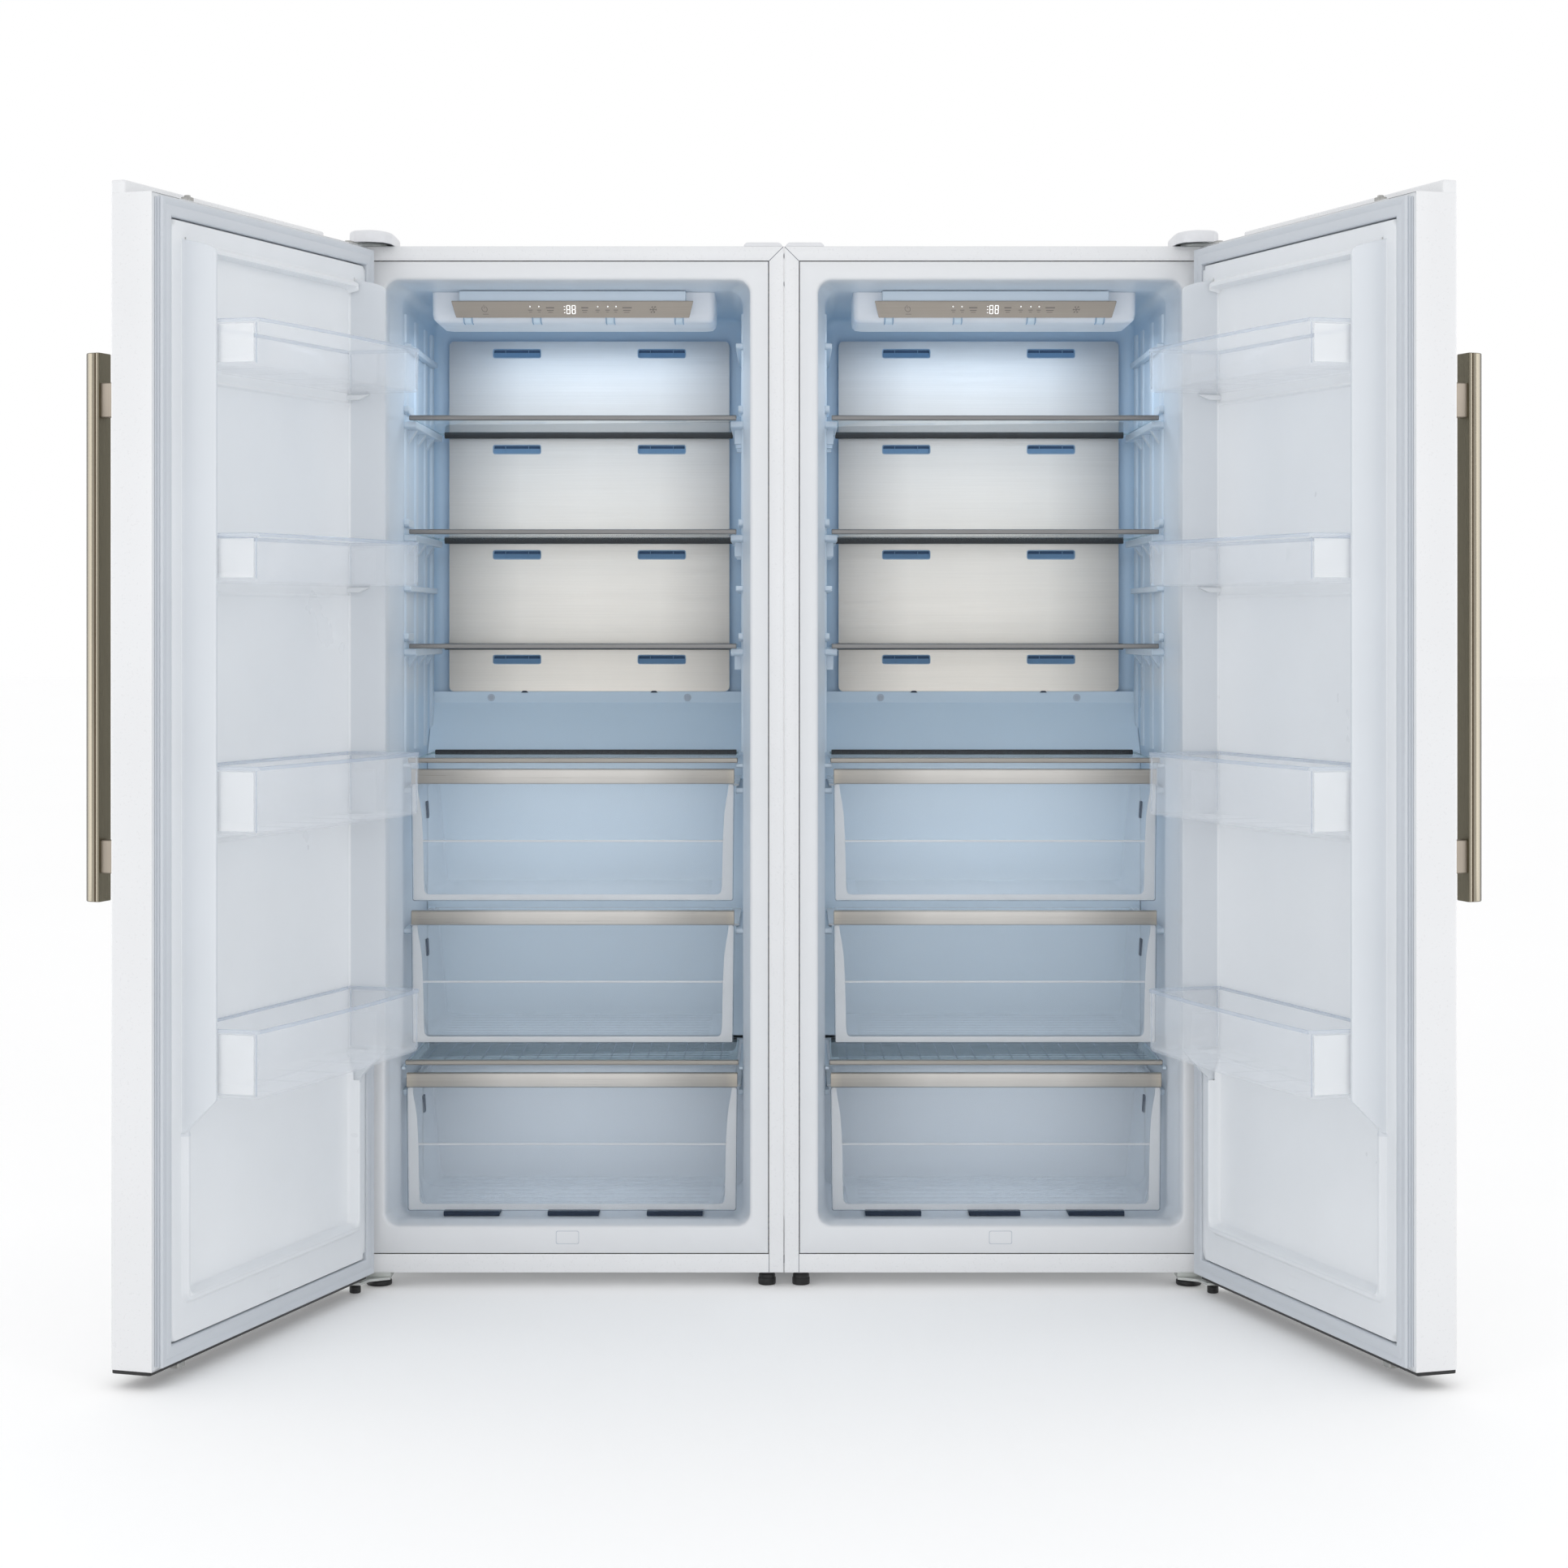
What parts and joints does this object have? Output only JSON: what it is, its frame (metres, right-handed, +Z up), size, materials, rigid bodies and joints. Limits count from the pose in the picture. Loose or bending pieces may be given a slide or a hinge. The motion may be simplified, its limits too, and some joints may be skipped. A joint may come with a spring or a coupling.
{
  "type": "french door refrigerator",
  "caption": "Side-by-side pair of tall column refrigerators opening from the middle, with brass bar handles, clear door bins, glass shelves and sliding drawers.",
  "frame": {"origin": "on the floor, at the centre of the footprint of the pair with both doors at their rest angle of 108 degrees", "axes": "+X to the right as seen from the front, +Y from the front towards the back, +Z up"},
  "size_m": [2.0118, 1.3558, 1.7285],
  "materials": {
    "white_steel": "satin",
    "foam_core": "matte",
    "liner_plastic": "satin",
    "duct_metal": "satin",
    "cavity_plastic": "satin",
    "evaporator_metal": "satin",
    "compressor_metal": "satin",
    "galvanised_steel": "satin",
    "lamp_diffuser": "satin",
    "panel_metal": "satin",
    "cover_glass": "gloss",
    "trim_metal": "satin",
    "hinge_steel": "satin",
    "cover_plastic": "satin",
    "foot_plastic": "satin",
    "fan_plastic": "satin",
    "clear_plastic": "gloss",
    "shelf_glass": "gloss",
    "gasket_rubber": "matte",
    "handle_brass": "satin",
    "black_plastic": "satin",
    "stop_metal": "satin"
  },
  "bodies": {
    "cabinets": {"left_cabinet_shell": "white_steel", "right_cabinet_shell": "white_steel", "foam_insulation": "foam_core", "left_inner_liner": "liner_plastic", "right_inner_liner": "liner_plastic", "air_duct_panels": "duct_metal", "evaporator_covers": "cavity_plastic", "evaporators": "evaporator_metal", "compressors": "compressor_metal", "machine_compartment_covers": "galvanised_steel", "ceiling_lamps": "lamp_diffuser", "control_panels": "panel_metal", "drawer_cover_glass": "cover_glass", "drawer_cover_trims": "trim_metal", "hinge_brackets": "hinge_steel", "hinge_covers": "cover_plastic", "levelling_feet": "foot_plastic", "joining_kit": "galvanised_steel"},
    "left_door_unit": {"left_door_skin": "white_steel", "left_door_foam": "foam_core", "left_door_liner": "liner_plastic", "left_door_gasket": "gasket_rubber", "left_door_handle": "handle_brass", "left_door_bottom_trim": "black_plastic", "left_door_stops": "stop_metal"},
    "left_bin_unit_1": {"left_door_bin_1": "clear_plastic"},
    "left_bin_unit_2": {"left_door_bin_2": "clear_plastic"},
    "left_bin_unit_3": {"left_door_bin_3": "clear_plastic"},
    "left_bin_unit_4": {"left_door_bin_4": "clear_plastic"},
    "left_drawer_unit_1": {"left_drawer_1": "clear_plastic", "left_drawer_1_strip": "trim_metal"},
    "left_shelf_unit_1": {"left_shelf_1": "shelf_glass"},
    "left_drawer_unit_2": {"left_drawer_2": "clear_plastic", "left_drawer_2_strip": "trim_metal"},
    "left_shelf_unit_2": {"left_shelf_2": "shelf_glass"},
    "left_drawer_unit_3": {"left_drawer_3": "clear_plastic", "left_drawer_3_strip": "trim_metal"},
    "left_shelf_unit_3": {"left_shelf_3": "shelf_glass"},
    "left_fan_unit": {"left_evaporator_fan": "fan_plastic"},
    "right_door_unit": {"right_door_skin": "white_steel", "right_door_foam": "foam_core", "right_door_liner": "liner_plastic", "right_door_gasket": "gasket_rubber", "right_door_handle": "handle_brass", "right_door_bottom_trim": "black_plastic", "right_door_stops": "stop_metal"},
    "right_bin_unit_1": {"right_door_bin_1": "clear_plastic"},
    "right_bin_unit_2": {"right_door_bin_2": "clear_plastic"},
    "right_bin_unit_3": {"right_door_bin_3": "clear_plastic"},
    "right_bin_unit_4": {"right_door_bin_4": "clear_plastic"},
    "right_drawer_unit_1": {"right_drawer_1": "clear_plastic", "right_drawer_1_strip": "trim_metal"},
    "right_shelf_unit_1": {"right_shelf_1": "shelf_glass"},
    "right_drawer_unit_2": {"right_drawer_2": "clear_plastic", "right_drawer_2_strip": "trim_metal"},
    "right_shelf_unit_2": {"right_shelf_2": "shelf_glass"},
    "right_drawer_unit_3": {"right_drawer_3": "clear_plastic", "right_drawer_3_strip": "trim_metal"},
    "right_shelf_unit_3": {"right_shelf_3": "shelf_glass"},
    "right_fan_unit": {"right_evaporator_fan": "fan_plastic"}
  },
  "joints": [
    {"name": "left_door_hinge", "type": "hinge", "parent": "cabinets", "child": "left_door_unit", "pos_m": [-0.698, -0.0101, 0.85], "axis": [0, 0, -1], "range_deg": [-108, 22]},
    {"name": "left_bin_1_lift", "type": "slide", "parent": "left_door_unit", "child": "left_bin_unit_1", "axis": [0, 0, 1], "range_m": [0, 0.012]},
    {"name": "left_bin_2_lift", "type": "slide", "parent": "left_door_unit", "child": "left_bin_unit_2", "axis": [0, 0, 1], "range_m": [0, 0.012]},
    {"name": "left_bin_3_lift", "type": "slide", "parent": "left_door_unit", "child": "left_bin_unit_3", "axis": [0, 0, 1], "range_m": [0, 0.012]},
    {"name": "left_bin_4_lift", "type": "slide", "parent": "left_door_unit", "child": "left_bin_unit_4", "axis": [0, 0, 1], "range_m": [0, 0.012]},
    {"name": "left_drawer_1_slide", "type": "slide", "parent": "cabinets", "child": "left_drawer_unit_1", "axis": [0, -1, 0], "range_m": [0, 0.24]},
    {"name": "left_shelf_1_slide", "type": "slide", "parent": "cabinets", "child": "left_shelf_unit_1", "axis": [0, -1, 0], "range_m": [0, 0.3]},
    {"name": "left_drawer_2_slide", "type": "slide", "parent": "cabinets", "child": "left_drawer_unit_2", "axis": [0, -1, 0], "range_m": [0, 0.24]},
    {"name": "left_shelf_2_slide", "type": "slide", "parent": "cabinets", "child": "left_shelf_unit_2", "axis": [0, -1, 0], "range_m": [0, 0.3]},
    {"name": "left_drawer_3_slide", "type": "slide", "parent": "cabinets", "child": "left_drawer_unit_3", "axis": [0, -1, 0], "range_m": [0, 0.24]},
    {"name": "left_shelf_3_slide", "type": "slide", "parent": "cabinets", "child": "left_shelf_unit_3", "axis": [0, -1, 0], "range_m": [0, 0.3]},
    {"name": "left_fan_spin", "type": "hinge", "parent": "cabinets", "child": "left_fan_unit", "pos_m": [-0.355, 0.5779, 0.805], "axis": [0, 1, 0], "continuous": true},
    {"name": "right_door_hinge", "type": "hinge", "parent": "cabinets", "child": "right_door_unit", "pos_m": [0.698, -0.0101, 0.85], "axis": [0, 0, 1], "range_deg": [-108, 22]},
    {"name": "right_bin_1_lift", "type": "slide", "parent": "right_door_unit", "child": "right_bin_unit_1", "axis": [0, 0, 1], "range_m": [0, 0.012]},
    {"name": "right_bin_2_lift", "type": "slide", "parent": "right_door_unit", "child": "right_bin_unit_2", "axis": [0, 0, 1], "range_m": [0, 0.012]},
    {"name": "right_bin_3_lift", "type": "slide", "parent": "right_door_unit", "child": "right_bin_unit_3", "axis": [0, 0, 1], "range_m": [0, 0.012]},
    {"name": "right_bin_4_lift", "type": "slide", "parent": "right_door_unit", "child": "right_bin_unit_4", "axis": [0, 0, 1], "range_m": [0, 0.012]},
    {"name": "right_drawer_1_slide", "type": "slide", "parent": "cabinets", "child": "right_drawer_unit_1", "axis": [0, -1, 0], "range_m": [0, 0.24]},
    {"name": "right_shelf_1_slide", "type": "slide", "parent": "cabinets", "child": "right_shelf_unit_1", "axis": [0, -1, 0], "range_m": [0, 0.3]},
    {"name": "right_drawer_2_slide", "type": "slide", "parent": "cabinets", "child": "right_drawer_unit_2", "axis": [0, -1, 0], "range_m": [0, 0.24]},
    {"name": "right_shelf_2_slide", "type": "slide", "parent": "cabinets", "child": "right_shelf_unit_2", "axis": [0, -1, 0], "range_m": [0, 0.3]},
    {"name": "right_drawer_3_slide", "type": "slide", "parent": "cabinets", "child": "right_drawer_unit_3", "axis": [0, -1, 0], "range_m": [0, 0.24]},
    {"name": "right_shelf_3_slide", "type": "slide", "parent": "cabinets", "child": "right_shelf_unit_3", "axis": [0, -1, 0], "range_m": [0, 0.3]},
    {"name": "right_fan_spin", "type": "hinge", "parent": "cabinets", "child": "right_fan_unit", "pos_m": [0.355, 0.5779, 0.805], "axis": [0, 1, 0], "continuous": true}
  ]
}
